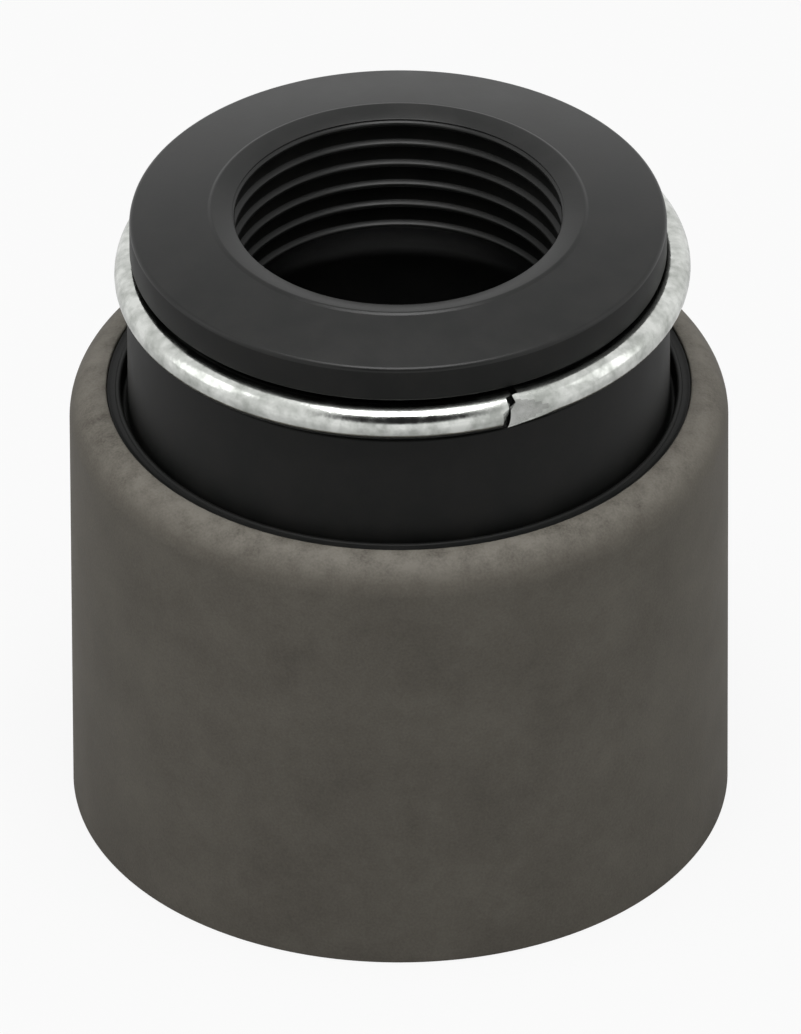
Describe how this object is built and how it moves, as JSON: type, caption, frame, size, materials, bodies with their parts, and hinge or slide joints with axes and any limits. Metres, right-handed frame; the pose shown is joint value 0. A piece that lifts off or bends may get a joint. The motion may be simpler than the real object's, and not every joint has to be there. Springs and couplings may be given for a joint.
{
  "type": "valve stem seal",
  "caption": "Valve stem seal with a drawn steel casing, a ribbed rubber bore for the stem and a split wire ring round its neck.",
  "frame": {"origin": "on the axis of the seal, at the lower rim of the steel casing", "axes": "+Z along the axis towards the mouth of the stem bore, -Y towards the picture's view, +X to its right"},
  "size_m": [0.024, 0.024, 0.0251],
  "materials": {
    "casing_steel": "phosphated, matte brown-grey",
    "seal_rubber": "moulded fluoroelastomer, matte black",
    "ring_wire": "bright zinc-plated spring wire"
  },
  "bodies": {
    "root": {"steel_casing": "casing_steel", "seal_body": "seal_rubber", "clamp_ring": "ring_wire"}
  },
  "joints": []
}
